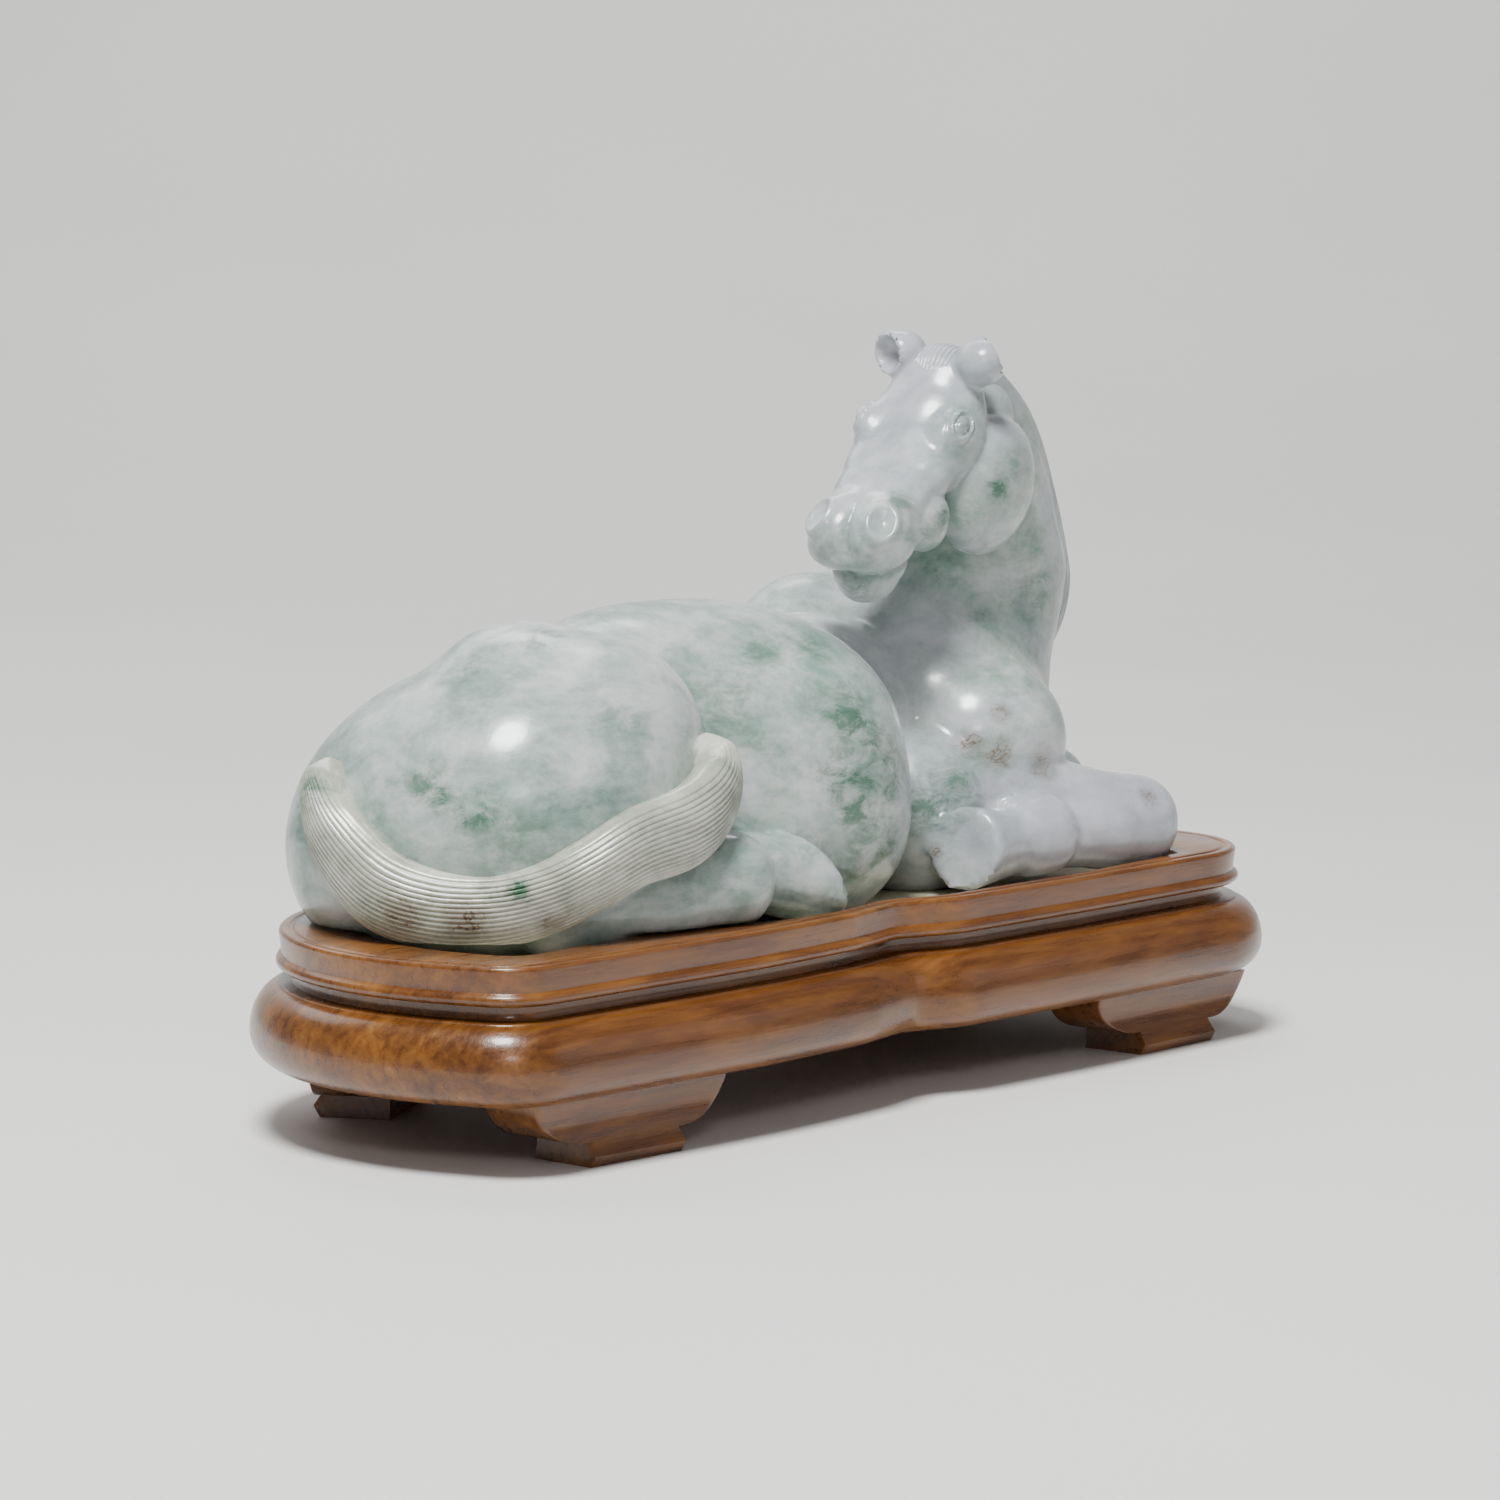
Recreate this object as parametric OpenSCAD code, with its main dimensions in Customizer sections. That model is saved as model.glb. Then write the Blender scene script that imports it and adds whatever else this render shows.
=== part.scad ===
// Reclining jade horse on a fitted two-lobed hardwood stand with four bracket feet.
// Millimetres. +X runs along the stand towards the horse's chest, -Y is the stand's front,
// +Z is up, and the origin is under the middle of the stand, on the surface it stands on.

/* [Stand outline] */
// Length of the rim board
rim_l = 296; // [292:1:310]
// Width of the rim board
rim_w = 116; // [116:1:124]
// How far the two pinches cut into the long sides
pinch_d = 6; // [4:0.5:7]

/* [Stand heights] */
// Height of the feet below the apron
foot_h = 16; // [14:0.5:20]
// Height of the swelling apron
apron_h = 18.5; // [16:0.5:22]
// Height of the recessed waist between apron and rim board
waist_h = 4; // [3:0.5:6]
// Thickness of the moulded rim board
board_t = 9; // [8.5:0.5:12]
// Depth of the carved seat below the top of the rim board
seat_d = 6; // [4:0.5:7]
// Width of the flat rim beside the legs
rim_min = 5.5; // [4:0.5:7]
// Extra width of the rim at the tail end
rim_more_left = 13; // [0:1:14]
// Extra width of the rim at the chest end
rim_more_right = 22; // [0:1:24]
// Distance from the outline to the window in the apron
window_rim = 22; // [20:1:30]
// Height of the tongue that locates the rim board in the window
tongue_h = 6; // [3:0.5:10]
// Gap round the tongue
tongue_gap = 0.3; // [0.1:0.1:0.5]

/* [Stand mouldings] */
// How far the apron swells beyond the rim board
belly_out = 7; // [4:0.5:9]
// How far the waist is set back from the rim board
waist_in = 4; // [2:0.5:5]
// Radius of the bead under the rim board
bead_r = 1.4; // [1:0.1:1.6]

/* [Feet] */
// Width of a foot at the ground
toe_w = 30; // [24:1:34]
// Width of a foot's bracket under the apron
bracket_w = 62; // [50:1:64]
// Thickness of a foot from front to back
foot_t = 17; // [14:0.5:18]
// Diameter of the dowels that hold the feet
dowel_d = 4; // [3:0.5:5]
// Distance between the two dowels of one foot
dowel_gap = 26; // [20:1:36]

/* [Seat packing] */
// Thickness of the packing sheet under the horse
liner_t = 1.2; // [0.8:0.1:2]
// Gap between the horse and the wall of the seat
seat_gap = 0.8; // [0.4:0.1:1.5]

/* [Colours] */
// Jade of the horse
jade_colour = "honeydew";
// Varnished hardwood
wood_colour = "sienna";
// Pale packing sheet
liner_colour = "antiquewhite";

/* [Hidden] */
$fn = 64;

// Levels, from the ground up.
apron_z = foot_h;
waist_z = apron_z + apron_h;
board_z = waist_z + waist_h;
rim_z = board_z + board_t;
seat_z = rim_z - seat_d;
horse_z = seat_z + liner_t;

// The outline of the rim board is a belt round these circles, [x, y, radius], anticlockwise
// from the front left corner. A negative radius is a circle outside, which the belt bends round.
half_l = rim_l / 2;
half_w = rim_w / 2;
side_r = 350;
rim_belt = [
    [-half_l + 18.5, -half_w + 15, 13.5],
    [-66, -half_w + side_r, side_r],
    [-26, -half_w + 16, 14],
    [-4, -half_w + pinch_d - 12, -12],
    [18, -half_w + 26.5, 26],
    [60, -half_w + side_r, side_r],
    [half_l - 34.5, -half_w + 34, 33],
    [half_l - 120, -5, 120],
    [half_l - 41, half_w - 42, 40],
    [55, half_w - side_r, side_r],
    [22, half_w - 34.5, 34],
    [-4, half_w - pinch_d + 16, -16],
    [-28, half_w - 37, 34],
    [-half_l + 71, half_w - 76, 71]
];

// Direction of the outward normal on the straight run between two circles of a belt.
function run_normal(a, b) =
    atan2(b.y - a.y, b.x - a.x) - acos((a[2] - b[2]) / norm([b.x - a.x, b.y - a.y]));
function before(belt, i) = belt[(i + len(belt) - 1) % len(belt)];
function after(belt, i) = belt[(i + 1) % len(belt)];
function normal_in(belt, i) = run_normal(before(belt, i), belt[i]);
function normal_out(belt, i) = run_normal(belt[i], after(belt, i));
function turn_at(belt, i) = let (t = normal_out(belt, i) - normal_in(belt, i))
    belt[i][2] > 0 ? (t % 360 + 360) % 360 : -((-t % 360 + 360) % 360);
function on_circle(c, angle) = [c.x, c.y] + c[2] * [cos(angle), sin(angle)];

// A circle of the belt moved outwards. A pinch keeps most of its radius, so it stays gentle.
pinch_ease = 0.7;
function grown(c, out) = c[2] > 0 ? [c.x, c.y, c[2] + out]
    : [c.x, c.y + sign(c.y) * pinch_ease * out, c[2] + (1 - pinch_ease) * out];

// The belt's outline, moved outwards, with a point every few degrees of its arcs.
function belt_points(belt, out = 0, step = 9) =
    let (moved = [for (c = belt) grown(c, out)]) [
        for (i = [0 : len(belt) - 1])
            let (turn = turn_at(moved, i), n = max(1, ceil(abs(turn_at(belt, i)) / step)))
                for (k = [0 : n]) on_circle(moved[i], normal_in(moved, i) + turn * k / n)
    ];

// Moves a point of the outline towards the middle line of the stand.
function inward(q, d) =
    let (spine = [min(max(q.x, -80), 90), 0], v = q - spine) spine + v * (1 - d / norm(v));
function smooth(t) = let (u = min(max(t, 0), 1)) u * u * (3 - 2 * u);

// Width of the flat rim round the seat: narrow beside the legs, wide at both ends.
function rim_at(q) = rim_min + rim_more_left * smooth((-30 - q.x) / 50)
    + rim_more_right * smooth((q.x - 105) / 38);
outline = belt_points(rim_belt);
function seat_outline(gap) = [for (q = outline) inward(q, rim_at(q) + gap)];
function window_outline(gap) = [for (q = outline) inward(q, window_rim + gap)];

// Places a flat loop at a height.
function lift(loop, z) = [for (q = loop) [q.x, q.y, z]];
// One loop of the outline for each [distance out, height] point of a moulding.
function moulding(profile) = [for (p = profile) lift(belt_points(rim_belt, p.x), p.y)];

// A skin over loops of equal length. Closed runs the last loop back to the first, as a ring;
// otherwise the first and last loops are filled in.
module loft(loops, closed = false) {
    n = len(loops[0]);
    m = len(loops);
    sides = [for (j = [0 : closed ? m - 1 : m - 2]) for (i = [0 : n - 1])
        let (k = (i + 1) % n, up = (j + 1) % m)
            each [[j * n + i, up * n + i, j * n + k], [j * n + k, up * n + i, up * n + k]]];
    ends = closed ? [] : [[for (i = [0 : n - 1]) i], [for (i = [n - 1 : -1 : 0]) (m - 1) * n + i]];
    polyhedron([for (loop = loops) each loop], concat(ends, sides));
}

// ---- The horse: one carved stone. Each row of a table is [centre, half sizes, turn]. ----

body_masses = [
    [[-8, -4, 78], [43.5, 40, 37], [0, 0, 0]],
    [[-34, 3, 86], [54, 29, 32], [0, 0, 0]],
    [[-5, -15, 62], [34, 29, 25], [0, 0, 0]],
    [[-86, -10, 75], [42, 36, 36], [0, -18, 0]],
    [[-70, -15, 87.5], [28, 23, 26], [0, 0, 0]],
    [[-90, 14, 70], [42, 34, 33], [0, -25, 0]],
    [[-84, 1, 105], [15, 12, 10], [0, -15, 0]],
    [[32, 9, 78], [46, 27, 33], [0, 0, 0]],
    [[72, 4, 80], [32, 29, 35], [0, 0, 0]],
    [[54, 26, 92], [26, 18, 26], [0, 0, 0]],
    [[70.5, -17, 77.5], [22.5, 21, 20.5], [0, 0, 0]],
    [[48, -14, 61], [22, 20, 22], [0, 0, 0]]
];

// Limbs are chains of balls, [x, y, z, radius].
neck_chain = [[85, 11, 92, 30.5], [95, 13.5, 117, 28.3], [93, 12.5, 139, 24.3], [79, 0, 155, 17]];
fore_near_upper = [[64, -24, 66, 14], [84, -34, 59, 11.5], [103, -41, 56.5, 10.8]];
fore_near_lower = [[103, -41, 54, 10.5], [63, -40.5, 55.5, 9.6], [46, -40, 55.4, 9.8]];
fore_far = [[78, 10, 63, 15], [111, -6, 61, 10.8]];
hind_near = [[-100, -28, 53, 10], [-54, -41, 57, 12], [-32, -39.5, 55.5, 9.5]];
tail_chain = [[-125, 18, 82, 6], [-130, 7, 69, 9], [-127, -14, 57, 10], [-110, -34, 56, 9],
              [-92, -43, 66, 9.5], [-72, -45, 70, 9.5], [-58, -42, 79, 7]];

// The head turns back over the shoulder: its own x runs down the nose, y to the horse's left.
head_place = [49.6, -11.5, 157.2];
head_turn = [-5, 30, -169];
head_masses = [
    [[-5, 0, -8], [18, 15.5, 11], [0, 0, 0]],
    [[-17, 0, 1.5], [9, 11.5, 7.5], [0, 0, 0]],
    [[33.5, 0, -10], [10.5, 11.5, 8.5], [0, 0, 0]],
    [[33, 0, -22], [9, 8.5, 6], [0, 0, 0]],
    [[-9, 11, -24], [19, 9.5, 17], [0, -8, 0]],
    [[-9, -11, -24], [19, 9.5, 17], [0, -8, 0]]
];
nose_chain = [[0, 0, -11, 12.5], [34, 0, -12, 9.5]];
jaw_chain = [[-2, 0, -24, 12], [22, 0, -21, 7], [35, 0, -21.5, 6]];
ear_size = [5, 6, 7];
ear_place = [-20, 12, 5.2];
brow_place = [-2, 12.5, -2.5];
brow_r = 4.5;

module mass(m, fn = 26) {
    translate(m[0]) rotate(m[2]) scale(m[1]) sphere(1, $fn = fn);
}

module limb(chain, fn = 16) {
    for (i = [0 : len(chain) - 2])
        hull()
            for (p = [chain[i], chain[i + 1]])
                translate([p.x, p.y, p.z]) sphere(p[3], $fn = fn);
}

module horse_head() {
    translate(head_place) rotate(head_turn) {
        for (m = head_masses) mass(m, 20);
        limb(nose_chain);
        limb(jaw_chain);
        for (side = [-1, 1]) {
            mass([[ear_place.x, side * ear_place.y, ear_place.z], ear_size, [0, 0, 0]], 16);
            translate([brow_place.x, side * brow_place.y, brow_place.z]) sphere(brow_r, $fn = 14);
        }
    }
}

// Everything the horse may not enter: the packing sheet and below, and the rim round the seat.
module horse_keep_out() {
    deep = 60;
    rest_gap = 0.5;
    translate([-rim_l, -rim_w, horse_z - deep]) cube([2 * rim_l, 2 * rim_w, deep]);
    translate([0, 0, horse_z - deep])
        linear_extrude(rim_z + rest_gap - horse_z + deep)
            difference() {
                square([2 * rim_l, 2 * rim_w], center = true);
                polygon(seat_outline(seat_gap));
            }
}

module jade_horse() {
    color(jade_colour) difference() {
        union() {
            for (m = body_masses) mass(m);
            limb(neck_chain, 22);
            limb(fore_near_upper);
            limb(fore_near_lower);
            limb(fore_far);
            limb(hind_near);
            limb(tail_chain);
            horse_head();
        }
        horse_keep_out();
    }
}

// ---- The stand ----

// Points of an arc from angle a to angle b round a centre.
function arc(centre, r, a, b, steps) =
    [for (k = [0 : steps]) let (t = a + (b - a) * k / steps) centre + r * [cos(t), sin(t)]];

// Bead under a slightly set back band, and a half round nose on the top edge.
nose_r = 1.1;
band_in = 0.6;
rim_profile = concat(
    arc([-band_in, board_z + bead_r], bead_r, -90, 80, 5),
    arc([-nose_r, rim_z - nose_r], nose_r, 0, 90, 3));

// Swelling apron from the feet up to its shoulder, then the cove of the waist.
swell_h = 0.58 * apron_h;
under_h = apron_h - swell_h;
apron_foot = -0.5;
apron_shoulder = -1;
apron_profile = concat(
    [for (a = [0 : 15 : 90])
        [apron_foot + (belly_out - apron_foot) * sin(a), apron_z + under_h * (1 - cos(a))]],
    [for (a = [15 : 15 : 90])
        [apron_shoulder + (belly_out - apron_shoulder) * cos(a), apron_z + under_h + swell_h * sin(a)]],
    [[-waist_in, waist_z + 0.3], [-waist_in + 0.6, board_z]]);

module seat_board() {
    tongue = window_outline(tongue_gap);
    color(wood_colour) loft(concat(
        [lift(tongue, board_z - tongue_h), lift(tongue, board_z)],
        moulding(rim_profile),
        [lift(seat_outline(0), rim_z), lift(seat_outline(0), seat_z)]));
}

module seat_liner() {
    color(liner_colour) translate([0, 0, seat_z]) linear_extrude(liner_t) polygon(seat_outline(0.3));
}

module apron_ring() {
    window = window_outline(0);
    color(wood_colour) difference() {
        loft(concat(moulding(apron_profile), [lift(window, board_z), lift(window, apron_z)]), true);
        dowels();
    }
}

// Where each foot stands: the middle of its front face on the rim outline, and its turn,
// which is 0 on the front edge.
foot_front_left_at = [-102, -half_w + 1.4, -2];
foot_front_right_at = [100, -half_w + 1.2, 1];
foot_back_left_at = [-97.5, half_w - 15.8, -153];
foot_back_right_at = [104, half_w - 5.5, 160];

module at_foot(place) {
    translate([place.x, place.y, 0]) rotate(place[2]) children();
}

// Bracket seen from the front: a toe, a cusp, and a quarter round lobe up to the apron each side.
module bracket_outline() {
    cusp_z = 0.36 * foot_h;
    lobe_w = (bracket_w - toe_w) / 2 - 1;
    lobe_x = toe_w / 2 + 1;
    steps = 8;
    lobe = [for (k = [0 : steps]) let (a = 90 * k / steps)
        [lobe_x + lobe_w * sin(a), foot_h - (foot_h - cusp_z) * cos(a)]];
    right = concat([[toe_w / 2, 0], [toe_w / 2 - 0.6, cusp_z]], lobe);
    left = [for (k = [len(right) - 1 : -1 : 0]) [-right[k].x, right[k].y]];
    polygon(concat(right, left));
}

// Foot seen from its side: flat back, coved front, flaring toe with a chamfered lower edge.
module foot_section() {
    toe_z = 2.6;
    toe_out = 2;
    chamfer = 1.6;
    cove_in = 2.2;
    front_in = 0.5;
    steps = 8;
    cove = [for (k = [0 : steps]) let (t = k / steps)
        [-(toe_out + front_in) * t + toe_out - cove_in * sin(180 * t), toe_z + (foot_h - toe_z) * t]];
    polygon(concat([[-foot_t, 0], [toe_out - chamfer, 0]], cove, [[-foot_t, foot_h]]));
}

module foot() {
    intersection() {
        translate([0, foot_t + 5, 0]) rotate([90, 0, 0]) linear_extrude(foot_t + 20) bracket_outline();
        translate([-bracket_w / 2 - 1, 0, 0]) rotate([90, 0, 90])
            linear_extrude(bracket_w + 2) mirror([1, 0]) foot_section();
    }
}

module drilled_foot(place) {
    color(wood_colour) difference() {
        at_foot(place) foot();
        dowels();
    }
}

dowel_l = 16;
dowel_back = 9;

module dowels() {
    for (place = [foot_front_left_at, foot_front_right_at, foot_back_left_at, foot_back_right_at])
        at_foot(place)
            for (x = [-dowel_gap / 2, dowel_gap / 2])
                translate([x, dowel_back, apron_z - dowel_l / 2]) cylinder(dowel_l, d = dowel_d);
}

module foot_front_left() { drilled_foot(foot_front_left_at); }
module foot_front_right() { drilled_foot(foot_front_right_at); }
module foot_back_left() { drilled_foot(foot_back_left_at); }
module foot_back_right() { drilled_foot(foot_back_right_at); }
module foot_dowels() { color("burlywood") dowels(); }

jade_horse();
seat_board();
seat_liner();
apron_ring();
foot_front_left();
foot_front_right();
foot_back_left();
foot_back_right();
foot_dowels();
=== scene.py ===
import math

import bmesh
import bpy
import numpy as np
from mathutils import Euler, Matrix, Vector


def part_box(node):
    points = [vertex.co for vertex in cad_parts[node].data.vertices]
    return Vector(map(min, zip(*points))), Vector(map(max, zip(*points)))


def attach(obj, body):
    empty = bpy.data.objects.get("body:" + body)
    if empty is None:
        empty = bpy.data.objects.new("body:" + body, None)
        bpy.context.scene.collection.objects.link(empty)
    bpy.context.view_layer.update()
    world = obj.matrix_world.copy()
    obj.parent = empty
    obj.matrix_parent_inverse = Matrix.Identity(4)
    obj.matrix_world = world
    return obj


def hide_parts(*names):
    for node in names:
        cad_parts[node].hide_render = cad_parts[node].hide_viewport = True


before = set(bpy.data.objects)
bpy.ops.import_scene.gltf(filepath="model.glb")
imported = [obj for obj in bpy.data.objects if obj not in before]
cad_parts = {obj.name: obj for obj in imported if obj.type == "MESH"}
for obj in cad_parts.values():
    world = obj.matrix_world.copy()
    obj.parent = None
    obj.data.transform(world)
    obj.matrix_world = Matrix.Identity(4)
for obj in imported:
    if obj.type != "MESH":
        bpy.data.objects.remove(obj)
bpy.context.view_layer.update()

MM = 0.001


# ---- Levels and sizes taken from the frame ----
def box_mm(node):
    lo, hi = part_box(node)
    return lo / MM, hi / MM


BOARD_LO, BOARD_HI = box_mm("seat_board")
APRON_LO, APRON_HI = box_mm("apron_ring")
LINER_LO, LINER_HI = box_mm("seat_liner")

BEAD_R = 1.4
BAND_IN = 0.6
BEAD_OUT = BEAD_R - BAND_IN
NOSE_R = 1.1

FOOT_Z = APRON_LO.z
BOARD_Z = APRON_HI.z
RIM_Z = BOARD_HI.z
SEAT_Z = LINER_LO.z
HORSE_Z = LINER_HI.z
TONGUE_Z = BOARD_LO.z
WAIST_Z = BOARD_Z - 4.0
HALF_L = (BOARD_HI.x - BOARD_LO.x) / 2 - BEAD_OUT
HALF_W = (BOARD_HI.y - BOARD_LO.y) / 2 - BEAD_OUT
SEAT_GAP = 0.8
REST_GAP = 0.5


# ---- Mesh helpers ----
def make_object(name, vertices, faces, sharp=35):
    """A smooth shaded object from millimetre vertices; edges over the sharp angle stay crisp."""
    mesh = bpy.data.meshes.new(name)
    mesh.from_pydata((np.asarray(vertices) * MM).tolist(), [], [list(f) for f in faces])
    mesh.validate()
    mesh.shade_smooth()
    mesh.set_sharp_from_angle(angle=math.radians(sharp))
    made = bpy.data.objects.new(name, mesh)
    bpy.context.scene.collection.objects.link(made)
    return made


def loft(loops, closed=False):
    """Vertices and faces of a skin over loops of equal length. Closed makes a ring of loops."""
    count = len(loops[0])
    rows = len(loops)
    vertices = [point for loop in loops for point in loop]
    faces = []
    for j in range(rows if closed else rows - 1):
        up = (j + 1) % rows
        for i in range(count):
            k = (i + 1) % count
            faces.append((j * count + i, j * count + k, up * count + k, up * count + i))
    if not closed:
        faces.append(tuple(range(count))[::-1])
        faces.append(tuple((rows - 1) * count + i for i in range(count)))
    return vertices, faces


def arc(centre, r, start, end, steps):
    """Points of an arc between two angles in degrees."""
    angles = np.radians(np.linspace(start, end, steps + 1))
    return [(centre[0] + r * math.cos(a), centre[1] + r * math.sin(a)) for a in angles]


def smooth(t):
    u = min(max(t, 0), 1)
    return u * u * (3 - 2 * u)


# ---- Outline of the stand: a belt round circles, (x, y, radius), anticlockwise ----
SIDE_R = 350
PINCH = 6
PINCH_EASE = 0.7
RIM_BELT = [
    (-HALF_L + 18.5, -HALF_W + 15, 13.5),
    (-66, -HALF_W + SIDE_R, SIDE_R),
    (-26, -HALF_W + 16, 14),
    (-4, -HALF_W + PINCH - 12, -12),
    (18, -HALF_W + 26.5, 26),
    (60, -HALF_W + SIDE_R, SIDE_R),
    (HALF_L - 34.5, -HALF_W + 34, 33),
    (HALF_L - 120, -5, 120),
    (HALF_L - 41, HALF_W - 42, 40),
    (55, HALF_W - SIDE_R, SIDE_R),
    (22, HALF_W - 34.5, 34),
    (-4, HALF_W - PINCH + 16, -16),
    (-28, HALF_W - 37, 34),
    (-HALF_L + 71, HALF_W - 76, 71),
]


def run_normal(a, b):
    """Angle of the outward normal on the straight run from circle a to circle b."""
    dx, dy = b[0] - a[0], b[1] - a[1]
    return math.degrees(math.atan2(dy, dx) - math.acos((a[2] - b[2]) / math.hypot(dx, dy)))


def grown(circle, out):
    """A circle of the belt moved outwards; a pinch keeps most of its radius, so it stays gentle."""
    x, y, r = circle
    if r > 0:
        return x, y, r + out
    return x, y + math.copysign(1, y) * PINCH_EASE * out, r + (1 - PINCH_EASE) * out


def swing_at(belt, i):
    """Angle where the belt meets circle i, and how far it turns round it."""
    circle = belt[i]
    start = run_normal(belt[i - 1], circle)
    end = run_normal(circle, belt[(i + 1) % len(belt)])
    return start, (end - start) % 360 if circle[2] > 0 else -((start - end) % 360)


def belt_points(out=0, chord=1.6):
    """The outline moved outwards, with a point about every chord millimetres of the rim."""
    belt = [grown(circle, out) for circle in RIM_BELT]
    points = []
    for i, (x, y, r) in enumerate(belt):
        rim_swing = swing_at(RIM_BELT, i)[1]
        steps = max(2, math.ceil(abs(RIM_BELT[i][2] * math.radians(rim_swing)) / chord))
        start, swing = swing_at(belt, i)
        for a in np.radians(np.linspace(start, start + swing, steps + 1)):
            points.append((x + r * math.cos(a), y + r * math.sin(a)))
    return np.array(points)


def inward(points, distance):
    """The outline moved towards the middle line of the stand."""
    spine = np.stack([np.clip(points[:, 0], -80, 90), np.zeros(len(points))], 1)
    away = points - spine
    return spine + away * (1 - distance / np.linalg.norm(away, axis=1))[:, None]


OUTLINE = belt_points()
RIM_WIDTH = np.array([5.5 + 13 * smooth((-30 - x) / 50) + 22 * smooth((x - 105) / 38)
                      for x, y in OUTLINE])
WINDOW_IN = 22
TONGUE_GAP = 0.3


def seat_outline(gap):
    return inward(OUTLINE, RIM_WIDTH + gap)


def lift(loop, z):
    return [(x, y, z) for x, y in loop]


def moulding(profile):
    """One loop of the outline for each (distance out, height) point."""
    return [lift(belt_points(out), z) for out, z in profile]


# ---- Seat board: bead, plain band, rolled nose, and a fine cove line inside it ----
def seat_board():
    tongue = inward(OUTLINE, WINDOW_IN + TONGUE_GAP)
    edge = (arc((-BAND_IN, BOARD_Z + BEAD_R), BEAD_R, -90, 62, 9)
            + [(-BAND_IN + 0.05, BOARD_Z + 2 * BEAD_R + 0.3)]
            + arc((-NOSE_R, RIM_Z - NOSE_R), NOSE_R, 0, 100, 6)
            + arc((-2.9, RIM_Z + 0.1), 0.75, 200, 340, 5)[::-1]
            + [(-3.9, RIM_Z)])
    rim_top = seat_outline(-0.5)
    loops = [lift(tongue, TONGUE_Z), lift(tongue, BOARD_Z)] + moulding(edge)
    loops += [lift(rim_top, RIM_Z), lift(seat_outline(-0.15), RIM_Z - 0.15),
              lift(seat_outline(0), RIM_Z - 0.5), lift(seat_outline(0), SEAT_Z)]
    return make_object("stand_rim_board", *loft(loops))


# ---- Apron: swelling band under a thin shoulder, and the cove of the waist ----
BELLY_OUT = 7.0
WAIST_IN = 4.0


def apron_profile():
    apron_h = WAIST_Z - FOOT_Z
    swell_h = 0.58 * apron_h
    under_h = apron_h - swell_h
    foot_in, shoulder_in = -0.5, -1.0
    under = [(foot_in + (BELLY_OUT - foot_in) * math.sin(a), FOOT_Z + under_h * (1 - math.cos(a)))
             for a in np.radians(np.linspace(0, 90, 13))]
    over = [(shoulder_in + (BELLY_OUT - shoulder_in) * math.cos(a),
             FOOT_Z + under_h + swell_h * math.sin(a))
            for a in np.radians(np.linspace(8, 80, 12))]
    shoulder = arc((shoulder_in + 0.7, WAIST_Z - 0.35), 0.7, 10, 90, 4)
    cove = arc((-0.9, WAIST_Z + 2.3), 2.6, 220, 165, 6)
    return under + over + shoulder + cove + [(-WAIST_IN + 0.6, BOARD_Z)]


def apron():
    window = inward(OUTLINE, WINDOW_IN)
    loops = moulding(apron_profile())
    loops += [lift(window, BOARD_Z), lift(window, FOOT_Z)]
    return make_object("stand_apron", *loft(loops, closed=True))


# ---- Bracket feet: the middle of each front face on the outline, and its turn ----
FEET = {
    "foot_front_left": (-102, -HALF_W + 1.4, -2),
    "foot_front_right": (100, -HALF_W + 1.2, 1),
    "foot_back_left": (-97.5, HALF_W - 15.8, -153),
    "foot_back_right": (104, HALF_W - 5.5, 160),
}
TOE_W = 30
BRACKET_W = 62
FOOT_T = 17
CUSP_Z = 0.36 * FOOT_Z
TOE_Z = 2.6
TOE_OUT = 2.0
CHAMFER = 1.6
COVE_IN = 2.2
FRONT_IN = 0.5
FOOT_R = 0.7


def foot_half_width(z):
    """Half the bracket's width: a toe, then a quarter round lobe from its cusp to the apron."""
    if z < CUSP_Z:
        return TOE_W / 2 - 0.6 * z / CUSP_Z
    rise = (FOOT_Z - z) / (FOOT_Z - CUSP_Z)
    lobe = (BRACKET_W - TOE_W) / 2 - 1
    return TOE_W / 2 + 1 + lobe * math.sqrt(max(0, 1 - rise * rise))


def foot_front(z):
    """How far the front face stands out at a height: chamfer, toe ridge, then a long cove."""
    if z < TOE_Z:
        return TOE_OUT - CHAMFER * (1 - z / TOE_Z)
    t = (z - TOE_Z) / (FOOT_Z - TOE_Z)
    return TOE_OUT - (TOE_OUT + FRONT_IN) * t - COVE_IN * math.sin(math.pi * t)


def foot_loop(z):
    """A rectangle with rounded front corners, drawn as a loop with a steady number of points."""
    w, front = foot_half_width(z), -foot_front(z)
    right = [(x, y, z) for x, y in arc((w - FOOT_R, front + FOOT_R), FOOT_R, -90, 0, 4)]
    left = [(-x, y, z) for x, y, z in right[::-1]]
    face = [(x, front, z) for x in np.linspace(-w + 2, w - 2, 15)]
    side = [(w, y, z) for y in np.linspace(front + 3, FOOT_T, 6)]
    return left + face + right + side + [(-x, y, z) for x, y, z in side[::-1]]


def foot(name):
    x, y, angle = FEET[name]
    lobe_steps = [FOOT_Z - (FOOT_Z - CUSP_Z) * math.cos(a)
                  for a in np.radians((2, 5, 9, 14, 20, 27, 35, 44, 54, 65, 78, 90))]
    heights = [0, 0.4, 1.3, TOE_Z - 0.3, TOE_Z, TOE_Z + 0.4, 3.8, 4.8, CUSP_Z - 0.01] + lobe_steps
    vertices, faces = loft([foot_loop(z) for z in heights])
    c, s = math.cos(math.radians(angle)), math.sin(math.radians(angle))
    placed = [(x + c * u - s * v, y + s * u + c * v, z) for u, v, z in vertices]
    return make_object("stand_" + name, placed, faces)


def packing():
    loop = seat_outline(0.3)
    return make_object("stand_packing", *loft([lift(loop, SEAT_Z), lift(loop, HORSE_Z)]))


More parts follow.
